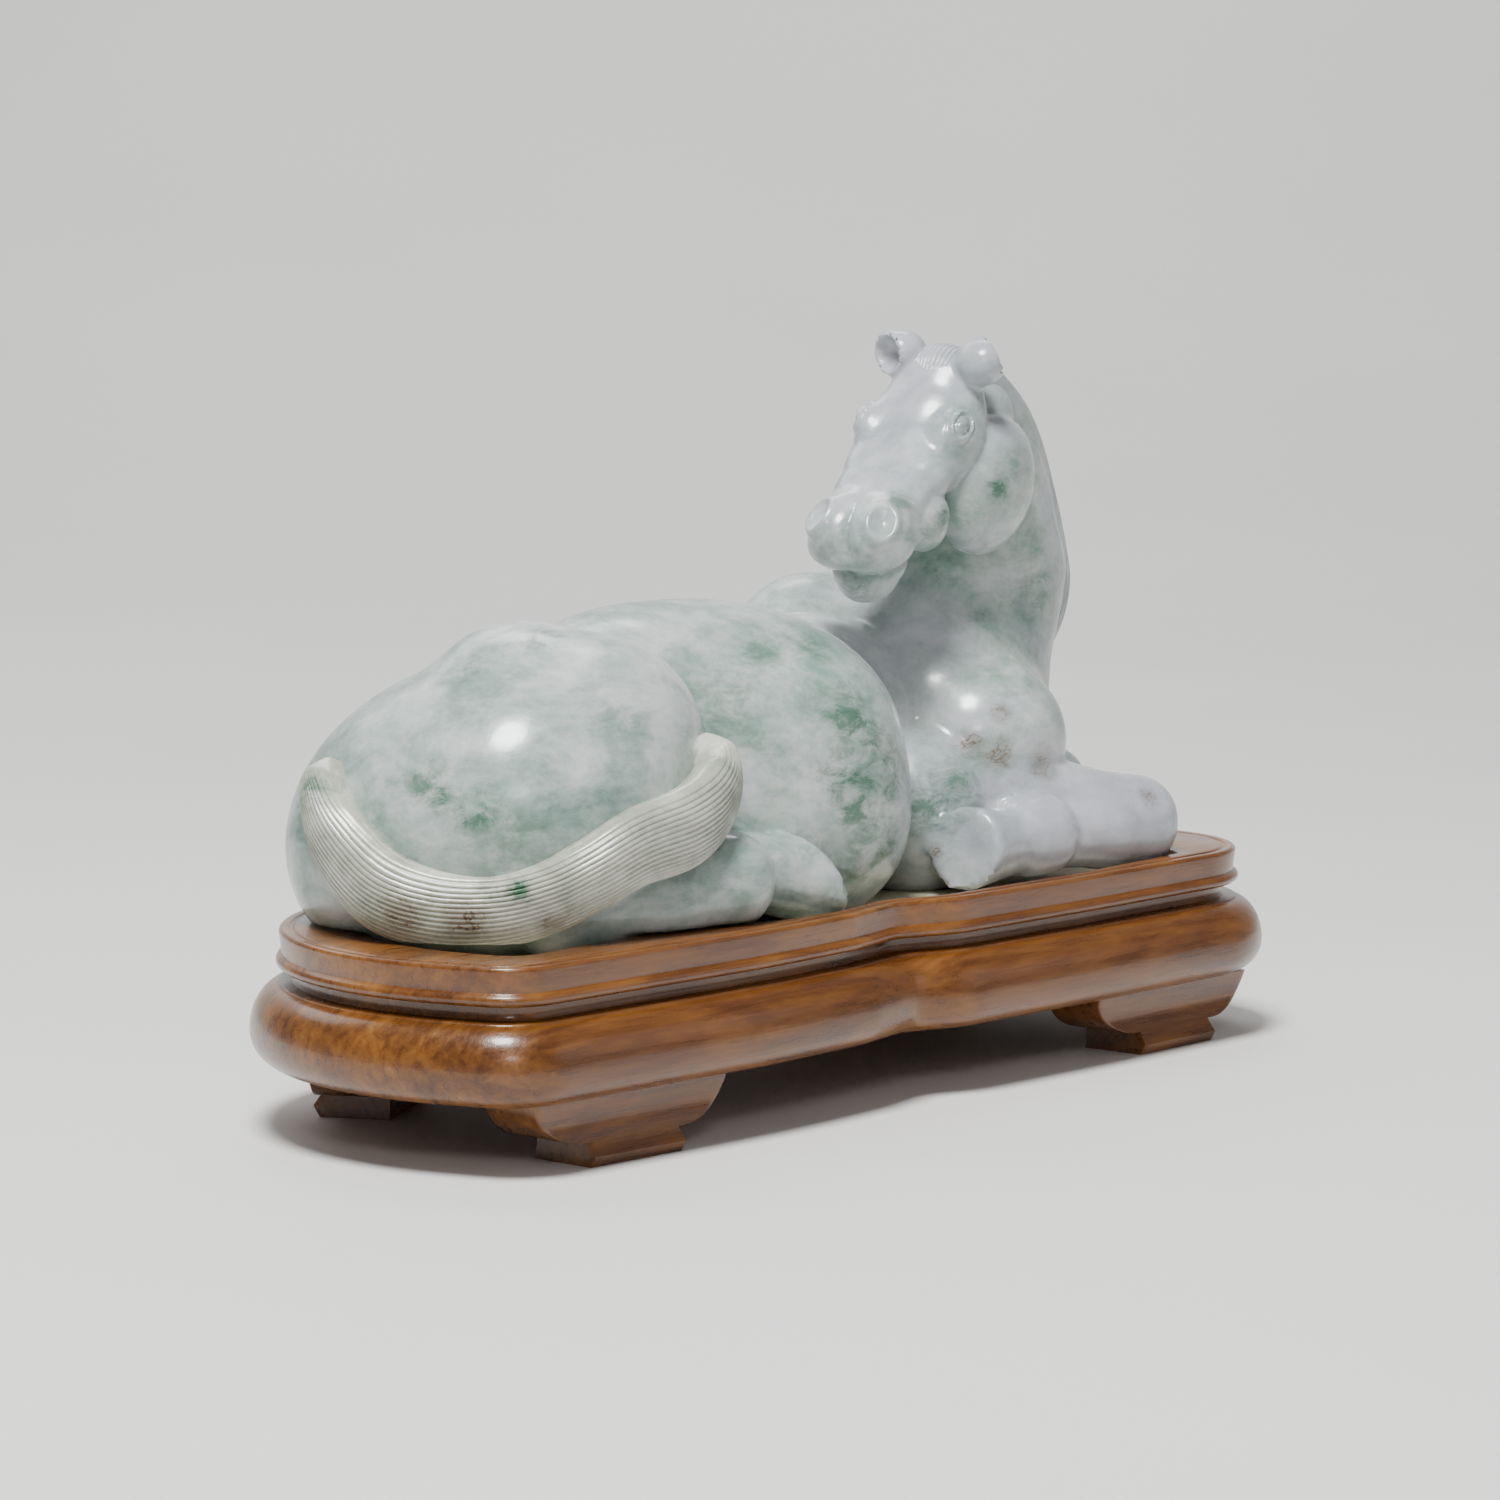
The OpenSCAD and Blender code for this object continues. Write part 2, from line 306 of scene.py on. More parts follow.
# ---- Horse shape: signed distances in millimetres, in the CAD frame ----
def soft_min(a, b, k):
    """The smaller distance, rounded over a width k where the two meet."""
    h = np.clip(0.5 + 0.5 * (b - a) / k, 0, 1)
    return b + (a - b) * h - k * h * (1 - h)


def soft_max(a, b, k):
    return -soft_min(-a, -b, k)


def turn(x=0, y=0, z=0):
    """Rotation by x, then y, then z degrees; the columns are the turned axes."""
    return np.array(Euler([math.radians(angle) for angle in (x, y, z)], "XYZ").to_matrix())


def egg(p, centre, half, axes=None):
    """Distance to an ellipsoid; the columns of axes are its own directions."""
    q = p - np.asarray(centre, float)
    if axes is not None:
        q = q @ axes
    half = np.asarray(half, float)
    k0 = np.linalg.norm(q / half, axis=1) + 1e-9
    k1 = np.linalg.norm(q / (half * half), axis=1) + 1e-9
    return k0 * (k0 - 1) / k1


def rod(p, a, b):
    """Round cone between two (x, y, z, radius) points."""
    a, b = np.asarray(a, float), np.asarray(b, float)
    along = b[:3] - a[:3]
    t = np.clip((p - a[:3]) @ along / (along @ along), 0, 1)
    gap = np.linalg.norm(p - a[:3] - t[:, None] * along, axis=1)
    return gap - (a[3] + (b[3] - a[3]) * t)


def limb(p, points, k):
    """A chain of round cones."""
    d = rod(p, points[0], points[1])
    for a, b in zip(points[1:-1], points[2:]):
        d = soft_min(d, rod(p, a, b), k)
    return d


def eggs(p, rows, k):
    """Union of (centre, half sizes, turn) rows."""
    d = None
    for centre, half, angles in rows:
        e = egg(p, centre, half, turn(*angles))
        d = e if d is None else soft_min(d, e, k)
    return d


def rings(q, at, axes, half, rows):
    """Height of concentric ridges on a surface: rows are (radius, height, width) in half sizes."""
    local = (q - np.asarray(at, float)) @ axes
    radius = np.hypot(local[:, 0] / half[0], local[:, 1] / half[1])
    near = np.exp(-(local[:, 2] / half[2]) ** 2)
    height = np.zeros(len(q))
    for middle, rise, width in rows:
        height += rise * np.exp(-((radius - middle) / width) ** 2)
    return height * near


# The head turns back over the shoulder. Its own x runs down the nose, y to the horse's left
# and z out of the forehead, from a point midway between the eyes.
HEAD_PLACE = np.array((49.6, -11.5, 157.2))
HEAD_AXES = turn(-5, 30, -169)
HEAD_REACH = 62

FACE = [
    ((-6, 0, -9), (18, 15, 11.5), (0, 0, 0)),
    ((-4, 0, -5.5), (15, 15.5, 7.4), (0, 0, 0)),
    ((-11.5, 0, -2.6), (12.5, 13.5, 8.6), (0, 0, 0)),
    ((-18, 0, 2.2), (8, 11.5, 6.6), (0, 0, 0)),
]
FACE_SIDE = [(-3, 8.6, -6.5, 6.2), (11, 7.7, -7.6, 5.6), (20, 6.4, -8.2, 5.4), (28, 5.6, -8, 5.2)]
FACE_RIDGE = [(0, 0, -8, 9.3), (28, 0, -9.5, 7.8)]
MUZZLE = [
    ((33.5, 5.2, -9.0), (9.8, 7.8, 7.6), (0, 0, 0)),
    ((34.2, 2.5, -13.0), (9.4, 11.2, 4.9), (0, 0, 0)),
    ((27.0, 6.6, -13.4), (8.0, 6.0, 4.7), (0, 0, 0)),
]
JAW = [(-4, 0, -24, 11), (14, 0, -19, 8), (26, 0, -18.5, 6)]
CHIN = [
    ((32.0, 0, -20.5), (9.6, 9.3, 4.6), (0, 0, 0)),
    ((34.5, 0, -23.2), (7.0, 7.4, 4.9), (0, 0, 0)),
]
CHEEK = ((-10.5, 11.5, -23.5), (19.5, 10.4, 17.4), (0, -8, 0))
CORNER = ((18, 9.0, -15), (8.0, 6.2, 8.2), (0, 0, 0))
EYE = ((-1.0, 13.4, 0.2), (-48, 0, 8), (4.3, 2.5, 5))
EYE_RINGS = [(0, 1.0, 0.55), (0.78, -0.55, 0.14), (1.08, 0.5, 0.15), (1.4, -0.22, 0.16)]
ORBIT = ((-1.0, 10.8, -1.6), (6.8, 4.0, 4.6), (0, 0, 0))
NOSTRIL = ((36.9, 8.8, -3.2), (-28, 42, 0), (4.6, 3.5, 5))
NOSTRIL_RINGS = [(0, -2.2, 0.62), (1.05, 0.75, 0.26), (1.6, -0.25, 0.25)]
EAR_PLACE = (-20.0, 11.5, 6.8)
EAR_HALF = (8.0, 6.0, 6.9)
EAR_UP = (-0.55, 0.05, 0.83)
EAR_HOLLOW = ((6.8, 5.0, 6.2), 5.4)
# Where each ear's hollow faces, in its own side's coordinates: the right one more forwards.
EAR_FACING = {1: (-0.7, 0.68, 0.15), -1: (0.75, 0.6, 0.3)}


def mirrored(q):
    """The head's coordinates folded onto its left half."""
    s = q.copy()
    s[:, 1] = np.abs(s[:, 1])
    return s


def face_shape(s):
    """Skull, nose, jaws, cheeks, lips and the relief of eyes and nostrils."""
    upper = soft_min(eggs(s, FACE, 3), limb(s, FACE_SIDE, 3), 4)
    upper = soft_min(upper, limb(s, FACE_RIDGE, 2), 3)
    upper = soft_min(upper, eggs(s, MUZZLE, 2.5), 3)
    upper = soft_min(upper, egg(s, ORBIT[0], ORBIT[1]), 3)
    lower = soft_min(limb(s, JAW, 3), eggs(s, CHIN, 2), 2)
    lower = soft_min(lower, egg(s, CORNER[0], CORNER[1]), 2.5)
    lower = soft_min(lower, egg(s, CHEEK[0], CHEEK[1], turn(*CHEEK[2])), 1.2)
    d = soft_min(upper, lower, 0.8)
    d = d - rings(s, EYE[0], turn(*EYE[1]), EYE[2], EYE_RINGS)
    return d - rings(s, NOSTRIL[0], turn(*NOSTRIL[1]), NOSTRIL[2], NOSTRIL_RINGS)


def facing(out, up):
    """Axes whose columns are sideways, up and out."""
    out = np.asarray(out, float) / np.linalg.norm(out)
    side = np.cross(up, out)
    side /= np.linalg.norm(side)
    return np.stack([side, np.cross(out, side), out], 1)


def ear_shape(q, side):
    """A short cupped leaf."""
    s = q * (1, side, 1)
    axes = facing(EAR_FACING[side], EAR_UP)
    half, depth = EAR_HOLLOW
    hollow_at = np.array(EAR_PLACE) + axes[:, 2] * depth
    return soft_max(egg(s, EAR_PLACE, EAR_HALF, axes), -egg(s, hollow_at, half, axes), 0.9)


def head_shape(p):
    """The head near its place; elsewhere only a lower bound, the distance to its reach."""
    q = (p - HEAD_PLACE) @ HEAD_AXES
    gap = np.linalg.norm(q, axis=1)
    d = gap - HEAD_REACH + 12
    near = gap < HEAD_REACH
    q = q[near]
    ears = np.minimum(ear_shape(q, 1), ear_shape(q, -1))
    d[near] = soft_min(face_shape(mirrored(q)), ears, 1.6)
    return d


BODY = [
    ((-8, -4, 78), (43.5, 40, 37), (0, 0, 0)),
    ((-34, 3, 86), (54, 29, 32), (0, 0, 0)),
    ((30, 10, 78), (46, 26, 32), (0, 0, 0)),
    ((-5, -15, 62), (34, 29, 25), (0, 0, 0)),
]
RUMP = [
    ((-90, 14, 70), (42, 34, 33), (0, -25, 0)),
    ((-84, 1, 105), (15, 12, 10), (0, -15, 0)),
]
HAUNCH = [
    ((-86, -10, 75), (42, 36, 36), (0, -18, 0)),
    ((-70, -15, 87.5), (28, 23, 26), (0, 0, 0)),
]
CHEST = [
    ((72, 4, 80), (31, 28, 34), (0, 0, 0)),
    ((54, 26, 92), (26, 18, 26), (0, 0, 0)),
]
SHOULDER = ((70.5, -17, 77.5), (22.5, 21, 20.5))
ELBOW = ((48, -14, 61), (22, 20, 22))
NECK = [(85, 11, 92, 30.5), (95, 13.5, 117, 28.3), (93, 12.5, 139, 24.3), (79, 0, 155, 16.5)]

# Limbs are chains of (x, y, z, radius), from the body to the hoof.
FORE_NEAR = [(64, -24, 66, 14), (84, -34, 59, 11.5), (103, -41, 56.5, 10.8)]
FORE_NEAR_CANNON = [(103, -41, 54, 10.5), (88, -41, 55, 9.2), (73, -40.5, 55, 8.2)]
FORE_NEAR_FETLOCK = [(64, -40.5, 56.2, 10.4), (60, -40.2, 56, 10.2)]
FORE_NEAR_HOOF = [(51, -40, 55, 8.2), (28, -40, 55.6, 11.6)]
FORE_NEAR_SOLE = ((36, -40, 55), (-0.98, -0.12, 0.16))
FORE_FAR = [(78, 10, 63, 15), (111, -6, 61, 10.8)]
HIND_NEAR = [(-100, -28, 53, 10), (-74, -36, 53, 10.5), (-54, -41, 57, 12)]
HIND_HOOF = [(-43, -38, 58, 9), (-18, -41, 53, 11)]
HIND_SOLE = ((-22, -41, 54), (0.90, 0, 0.44))


def body_shape(p):
    rump = soft_min(eggs(p, RUMP, 7), eggs(p, HAUNCH, 8), 14)
    d = soft_min(eggs(p, BODY, 10), rump, 1.8)
    front = soft_min(eggs(p, CHEST, 8), limb(p, NECK, 8), 8)
    front = soft_min(front, egg(p, *SHOULDER), 6)
    front = soft_min(front, egg(p, *ELBOW), 3)
    return soft_min(soft_min(d, front, 2.5), limb(p, FORE_FAR, 3), 3)


def hoof(p, points, sole, k):
    """A cone that widens towards its flat sole."""
    place, normal = (np.asarray(value, float) for value in sole)
    flat = (p - place) @ (normal / np.linalg.norm(normal))
    return soft_max(limb(p, points, k), flat, 1.2)


def legs_shape(p, d):
    """Joins the near legs onto the body's distance."""
    fore = soft_min(limb(p, FORE_NEAR, 4), limb(p, FORE_NEAR_CANNON, 3), 1.5)
    fore = soft_min(fore, limb(p, FORE_NEAR_FETLOCK, 2), 0.8)
    fore = soft_min(fore, hoof(p, FORE_NEAR_HOOF, FORE_NEAR_SOLE, 2), 1.0)
    hind = soft_min(limb(p, HIND_NEAR, 4), hoof(p, HIND_HOOF, HIND_SOLE, 2), 0.8)
    return soft_min(soft_min(d, fore, 2.0), hind, 1.0)


def horse_shape(p):
    return soft_min(legs_shape(p, body_shape(p)), head_shape(p), 2.0)


# ---- end of horse shape ----
def outline_distance(xy, loop):
    """Signed distance from flat points to a closed outline, negative inside."""
    best = np.full(len(xy), 1e9)
    inside = np.zeros(len(xy), bool)
    for a, b in zip(loop, np.roll(loop, -1, axis=0)):
        along = b - a
        size = along @ along
        if size < 1e-9:
            continue
        rel = xy - a
        t = np.clip(rel @ along / size, 0, 1)
        best = np.minimum(best, np.linalg.norm(rel - t[:, None] * along, axis=1))
        crosses = (a[1] > xy[:, 1]) != (b[1] > xy[:, 1])
        side = rel[:, 0] * along[1] - rel[:, 1] * along[0]
        inside ^= crosses & ((side < 0) == (along[1] > 0))
    return np.where(inside, -best, best)


HORSE_SEAT = seat_outline(SEAT_GAP)
HORSE_RIM_Z = RIM_Z + REST_GAP


def fitted_shape(p):
    """The horse, kept out of the packing sheet and of the rim round the seat."""
    d = np.maximum(horse_shape(p), HORSE_Z - p[:, 2])
    low = (p[:, 2] < HORSE_RIM_Z + 2) & (d < 6)
    wall = outline_distance(p[low, :2], HORSE_SEAT)
    d[low] = np.maximum(d[low], np.minimum(wall, HORSE_RIM_Z - p[low, 2]))
    return d


# ---- From distances to a mesh ----
BLOCK = 8


def sample(shape, low, step, counts):
    """Distances on a grid, worked out only in the blocks that the surface may cross."""
    field = np.full(counts, 1e3, np.float32)
    blocks = (counts - 1) // BLOCK
    places = np.stack(np.meshgrid(*[np.arange(n) for n in blocks], indexing="ij"), -1)
    places = places.reshape(-1, 3)
    middle = shape(low + (places * BLOCK + BLOCK / 2) * step)
    for x, y, z in places[middle <= 0] * BLOCK:
        field[x:x + BLOCK + 1, y:y + BLOCK + 1, z:z + BLOCK + 1] = -1e3
    close = places[np.abs(middle) < BLOCK * step * 1.15 + 3]
    offsets = np.stack(np.meshgrid(*[np.arange(BLOCK + 1)] * 3, indexing="ij"), -1).reshape(-1, 3)
    grid = (close[:, None, :] * BLOCK + offsets[None]).reshape(-1, 3)
    flat = np.unique(np.ravel_multi_index(grid.T, counts))
    grid = np.stack(np.unravel_index(flat, counts), -1)
    values = [shape(low + part * step) for part in np.array_split(grid, len(grid) // 200000 + 1)]
    field.reshape(-1)[flat] = np.concatenate(values)
    return field


def skin(shape, low, high, step):
    """Surface net: one vertex in each cell that the surface crosses, quads between them."""
    low = np.asarray(low, float)
    counts = (np.ceil((np.asarray(high) - low) / step / BLOCK).astype(int)) * BLOCK + 1
    field = sample(shape, low, step, counts)
    inside = field < 0
    corners = [(i, j, k) for i in (0, 1) for j in (0, 1) for k in (0, 1)]
    views = [inside[i:counts[0] - 1 + i, j:counts[1] - 1 + j, k:counts[2] - 1 + k]
             for i, j, k in corners]
    total = sum(v.astype(np.int8) for v in views)
    cells = np.argwhere((total > 0) & (total < 8))
    ids = np.full(counts - 1, -1, np.int64)
    ids[tuple(cells.T)] = np.arange(len(cells))
    crossing = np.zeros((len(cells), 3))
    hits = np.zeros(len(cells))
    for corner in corners:
        for axis in range(3):
            if corner[axis]:
                continue
            start = np.array(corner)
            end = start.copy()
            end[axis] = 1
            va = field[tuple((cells + start).T)]
            vb = field[tuple((cells + end).T)]
            cut = (va < 0) != (vb < 0)
            place = np.repeat(start[None].astype(float), cut.sum(), 0)
            place[:, axis] += va[cut] / (va[cut] - vb[cut])
            crossing[cut] += place
            hits[cut] += 1
    vertices = low + (cells + crossing / hits[:, None]) * step
    quads = []
    for axis in range(3):
        first, second = [k for k in range(3) if k != axis]
        here = [slice(None)] * 3
        there = [slice(None)] * 3
        here[axis] = slice(0, counts[axis] - 1)
        there[axis] = slice(1, counts[axis])
        edges = np.argwhere(inside[tuple(here)] != inside[tuple(there)])
        enters = inside[tuple(edges.T)]
        d1, d2 = np.eye(3, dtype=int)[first], np.eye(3, dtype=int)[second]
        quad = np.stack([ids[tuple((edges - shift).T)] for shift in (d1 + d2, d2, 0 * d1, d1)], 1)
        flip = ~enters if axis != 1 else enters
        quad[flip] = quad[flip][:, ::-1]
        quads.append(quad)
    return vertices, np.concatenate(quads)


def slopes(shape, points, reach=0.12):
    """Unit outward normals of the distance field."""
    g = np.zeros_like(points)
    for axis in range(3):
        shift = np.zeros(3)
        shift[axis] = reach
        g[:, axis] = shape(points + shift) - shape(points - shift)
    return g / (np.linalg.norm(g, axis=1, keepdims=True) + 1e-12)


def settle(shape, points, edges, rounds):
    """Evens out the mesh along the surface, then moves its points onto the surface."""
    a, b = edges.T
    degree = np.bincount(a, minlength=len(points)) + np.bincount(b, minlength=len(points))
    for k in range(rounds):
        normals = slopes(shape, points)
        if k < rounds - 1:
            mean = np.stack([np.bincount(a, points[b, i], len(points))
                             + np.bincount(b, points[a, i], len(points)) for i in range(3)], 1)
            slide = 0.6 * (mean / degree[:, None] - points)
            slide -= normals * np.einsum("ij,ij->i", slide, normals)[:, None]
            points = points + slide
            normals = slopes(shape, points)
        points = points - normals * np.clip(shape(points), -1, 1)[:, None]
    return points


def refine(bm, wanted):
    """Splits every edge that has both ends in the wanted part of the mesh."""
    edges = [e for e in bm.edges if wanted(e.verts[0].co) and wanted(e.verts[1].co)]
    bmesh.ops.subdivide_edges(bm, edges=edges, cuts=1, use_grid_fill=True)
    bmesh.ops.triangulate(bm, faces=[f for f in bm.faces if len(f.verts) > 4])
    bm.verts.ensure_lookup_table()


SCULPT_STEP = 1.75
HEAD_MIDDLE = HEAD_PLACE + HEAD_AXES @ np.array((8, 0, -8))
FINE_SPOTS = [HEAD_PLACE + HEAD_AXES @ np.array(spot) for spot in
              ((-1, 14, 0), (-1, -14, 0), (36, 8, -5), (36, -8, -5), (-20, 12, 6), (-20, -12, 6))]


def near_head(co):
    return (co / MM - Vector(HEAD_MIDDLE)).length < 41


def near_fine_spot(co):
    return min((co / MM - Vector(spot)).length for spot in FINE_SPOTS) < 9


def points_of(bm):
    return np.array([v.co[:] for v in bm.verts]) / MM


def settle_mesh(bm, rounds):
    edges = np.array([[v.index for v in e.verts] for e in bm.edges])
    points = settle(fitted_shape, points_of(bm), edges, rounds)
    for v, co in zip(bm.verts, points * MM):
        v.co = co


# Room round the horse's box for the sculpting grid, which starts just under its flat base.
GRID_BEFORE = 6
GRID_AFTER = 8
GRID_UNDER = 3


def sculpt():
    """The horse's body, legs and head."""
    lo, hi = box_mm("jade_horse")
    low = [value - GRID_BEFORE for value in lo]
    low[2] = HORSE_Z - GRID_UNDER
    high = [value + GRID_AFTER for value in hi]
    vertices, quads = skin(fitted_shape, low, high, SCULPT_STEP)
    made = make_object("horse_sculpt", vertices, quads.tolist(), 60)
    bm = bmesh.new()
    bm.from_mesh(made.data)
    refine(bm, near_head)
    bm.verts.index_update()
    settle_mesh(bm, 3)
    refine(bm, near_fine_spot)
    bm.verts.index_update()
    settle_mesh(bm, 2)
    bmesh.ops.triangulate(bm, faces=bm.faces)
    bm.to_mesh(made.data)
    bm.free()
    return made


# ---- Hair: closed ribbons with grooves along them, joined onto the sculpt ----
# Rows are (x, y, z, half width) on the ribbon's outer face; outwards is away from the middle.
TAIL = [
    (-128, 21, 87, 3.0), (-132.5, 17, 81, 6.0), (-136.0, 9, 71, 9.0), (-134.5, -4, 59.5, 10.4),
    (-129, -17, 55, 10.0), (-120.5, -30, 54.8, 9.4), (-112, -40, 58, 9.0), (-103.5, -47, 63, 9.0),
    (-92, -51, 68.5, 9.6), (-78, -53, 71.5, 10.2), (-66, -51, 75, 10.0), (-57.5, -48, 81, 8.6),
    (-54, -43.5, 87.5, 5.6), (-54.5, -39, 93, 1.6),
]
TAIL_MIDDLE = (-88, 2, 76)
MANE = [
    (64, -9.5, 172, 6), (73, -7.5, 174, 9), (88.5, -3, 170.3, 13), (105, 0.5, 159.5, 17),
    (117.5, 3.5, 141, 19), (123, 2.7, 117, 20), (115.5, -0.8, 98, 17), (106, 6, 84, 9),
]
MANE_MIDDLE = (89, 11, 128)
FORELOCK = [
    (-28, 0, 2.5, 4.0), (-25, 0, 7.2, 6.4), (-20.5, 0, 9.4, 7.4), (-16, 0, 9.0, 7.0),
    (-12, 0, 6.4, 5.4), (-9, 0, 3.8, 3.0), (-7.2, 0, 2.4, 1.2),
]
FORELOCK_MIDDLE = (-15, 0, -14)


def curve_points(rows, step):
    """Points of a smooth curve through the rows, about a step apart."""
    rows = np.asarray(rows, float)
    padded = np.vstack([2 * rows[0] - rows[1], rows, 2 * rows[-1] - rows[-2]])
    out = []
    for i in range(1, len(padded) - 2):
        p0, p1, p2, p3 = padded[i - 1:i + 3]
        count = max(2, int(np.linalg.norm((p2 - p1)[:3]) / step))
        for t in np.arange(count) / count:
            out.append(0.5 * (2 * p1 + (p2 - p0) * t + (2 * p0 - 5 * p1 + 4 * p2 - p3) * t * t
                              + (3 * p1 - p0 - 3 * p2 + p3) * t ** 3))
    out.append(rows[-1])
    return np.array(out)


def lock(name, rows, middle, hairs, thick, groove, lean=0.35, bow=200, fine=7):
    """A ribbon of hair: a rounded front with one groove between each two hairs, and a plain back.

    bow is the radius that the ribbon is bent round across its width.
    """
    line = curve_points(rows, 1.3)
    centre, half = line[:, :3], line[:, 3]
    along = np.gradient(centre, axis=0)
    along /= np.linalg.norm(along, axis=1, keepdims=True)
    face = centre - np.asarray(middle, float)
    face[:, 2] *= lean
    face -= along * np.einsum("ij,ij->i", face, along)[:, None]
    face /= np.linalg.norm(face, axis=1, keepdims=True)
    across = np.cross(along, face)
    u = np.linspace(-1, 1, hairs * fine + 1)
    dome = np.sqrt(np.clip(1 - np.abs(u) ** 2.6, 0, 1))
    back = np.linspace(1, -1, 12)[1:-1]
    drift = np.random.default_rng(7).normal(0, 1, (3, 2))
    loops = []
    for i in range(len(line)):
        tip = math.sqrt(min(1, (i + 0.6) / 4, (len(line) - i - 0.4) / 5))
        wander = sum(0.35 * np.sin((k + 1) * (2.1 * u + 0.05 * i) + a) * b
                     for k, (a, b) in enumerate(drift))
        cut = groove * (0.5 + 0.5 * np.cos(np.pi * u * hairs + wander)) ** 2.2
        rise = thick * tip * dome - cut * np.minimum(1, dome * 1.5) - thick * 0.8
        sunk = -thick * 0.8 - thick * np.sqrt(1 - back ** 2)
        swing = np.concatenate([u, back]) * half[i] / bow
        height = np.concatenate([rise, sunk])
        loop = (centre[i] + np.outer((bow + height) * np.sin(swing), across[i])
                + np.outer((bow + height) * np.cos(swing) - bow, face[i]))
        loop[:, 2] = np.maximum(loop[:, 2], HORSE_RIM_Z + 0.1)
        loops.append(loop.tolist())
    return make_object(name, *loft(loops), 75)


def head_rows(rows):
    """Rows in head coordinates, placed in the frame."""
    rows = np.asarray(rows, float)
    places = rows[:, :3] @ HEAD_AXES.T + HEAD_PLACE
    return np.hstack([places, rows[:, 3:]])


# ---- Materials ----
def new_material(name):
    """A new node material and its node tree."""
    material = bpy.data.materials.new(name)
    material.use_nodes = True
    return material, material.node_tree


def node(tree, kind, links=None, **settings):
    """A node with its properties set, and its inputs set or linked by name or number."""
    made = tree.nodes.new(kind)
    for key, value in settings.items():
        setattr(made, key, value)
    for key, value in (links or {}).items():
        if isinstance(value, bpy.types.NodeSocket):
            tree.links.new(value, made.inputs[key])
        else:
            made.inputs[key].default_value = value
    return made


def ramp(tree, factor, stops):
    """A colour ramp with (position, colour) stops."""
    made = node(tree, "ShaderNodeValToRGB", {0: factor})
    elements = made.color_ramp.elements
    elements[0].position, elements[0].color = stops[0][0], (*stops[0][1], 1)
    elements[1].position, elements[1].color = stops[-1][0], (*stops[-1][1], 1)
    for position, colour in stops[1:-1]:
        elements.new(position).color = (*colour, 1)
    return made.outputs[0]


def noise(tree, where, scale, detail=4, rough=0.55, bend=0.0):
    made = node(tree, "ShaderNodeTexNoise", {"Vector": where, "Scale": scale, "Detail": detail,
                                             "Roughness": rough, "Distortion": bend})
    return made.outputs["Fac"]


def remap(tree, value, low, high, to_low=0.0, to_high=1.0):
    made = node(tree, "ShaderNodeMapRange", {"Value": value, "From Min": low, "From Max": high,
                                             "To Min": to_low, "To Max": to_high})
    return made.outputs[0]


def maths(tree, kind, a, b):
    return node(tree, "ShaderNodeMath", {0: a, 1: b}, operation=kind).outputs[0]


def mix(tree, factor, a, b, blend="MIX"):
    """Colour a with colour b over it; colours are sockets or (r, g, b)."""
    made = node(tree, "ShaderNodeMix", data_type="RGBA", blend_type=blend)
    for index, value in ((0, factor), (6, a), (7, b)):
        if isinstance(value, bpy.types.NodeSocket):
            tree.links.new(value, made.inputs[index])
        else:
            made.inputs[index].default_value = (*value, 1) if index else value
    return made.outputs[2]


def bump(tree, height, distance, strength=1.0):
    return node(tree, "ShaderNodeBump", {"Height": height, "Distance": distance,
                                         "Strength": strength}).outputs[0]


def object_place(tree, stretch=(1, 1, 1), turned=(0, 0, 0)):
    """Object coordinates, stretched and turned."""
    place = node(tree, "ShaderNodeTexCoord").outputs["Object"]
    return node(tree, "ShaderNodeMapping", {"Vector": place, "Scale": stretch,
                                            "Rotation": turned}).outputs[0]


# A spot's edge wanders by this much of its radius, and it is at full strength inside its core.
SPOT_RAG = 1.3
SPOT_CORE = 0.3


def spots(tree, where, rows, edge_noise):
    """How strongly the ragged spots cover a point; rows are (x, y, z, radius, strength)."""
    total = None
    for x, y, z, radius, strength in rows:
        gap = node(tree, "ShaderNodeVectorMath",
                   {0: where, 1: (x * MM, y * MM, z * MM)}, operation="DISTANCE").outputs["Value"]
        ragged = maths(tree, "MULTIPLY_ADD", edge_noise, -radius * MM * SPOT_RAG)
        ragged.node.inputs[2].default_value = radius * MM * SPOT_RAG / 2
        cover = remap(tree, maths(tree, "ADD", gap, ragged), radius * MM,
                      radius * MM * SPOT_CORE, 0, strength)
        total = cover if total is None else maths(tree, "MAXIMUM", total, cover)
    return total


# Emerald patches and russet veins of the stone: (x, y, z, radius, strength).
EMERALD = [
    (-125, -13, 85, 6.5, 0.68), (-125, -18, 81, 5.2, 0.77), (-122, -26, 79, 7.8, 0.77),
    (-86, -14, 114, 6.5, 0.77), (-106, -5, 107, 9.1, 0.51), (-86, -19, 112, 6.5, 0.51),
    (-114, 6, 101, 7.8, 0.34), (-87, -39, 97, 11.7, 0.34), (-116, -35, 72, 9.1, 0.51),
    (-10, -41, 92, 10.4, 0.77), (-3, -43, 87, 9.1, 0.68), (-10, -45, 74, 15.6, 0.81),
    (-3, -45, 60, 15.6, 0.77), (3, -44, 76, 11.7, 0.77), (-9, -26, 109, 9.1, 0.51),
    (-23, -25, 108, 7.8, 0.51), (-37, -30, 94, 11.7, 0.42), (-34, -35, 88, 7.8, 0.38),
    (-43, -24, 100, 6.5, 0.42), (35, -30, 66, 11.7, 0.68), (44, -32, 68, 9.1, 0.68),
    (67, -30, 94, 9.1, 0.3), (92, -18, 111, 11.7, 0.42), (-60, -50, 56, 7.8, 0.42),
    (-74, -48, 57, 6.5, 0.34), (-30, 34, 96, 15.6, 0.59), (-84, 34, 84, 14.3, 0.59),
    (60, 38, 100, 13, 0.42),
]
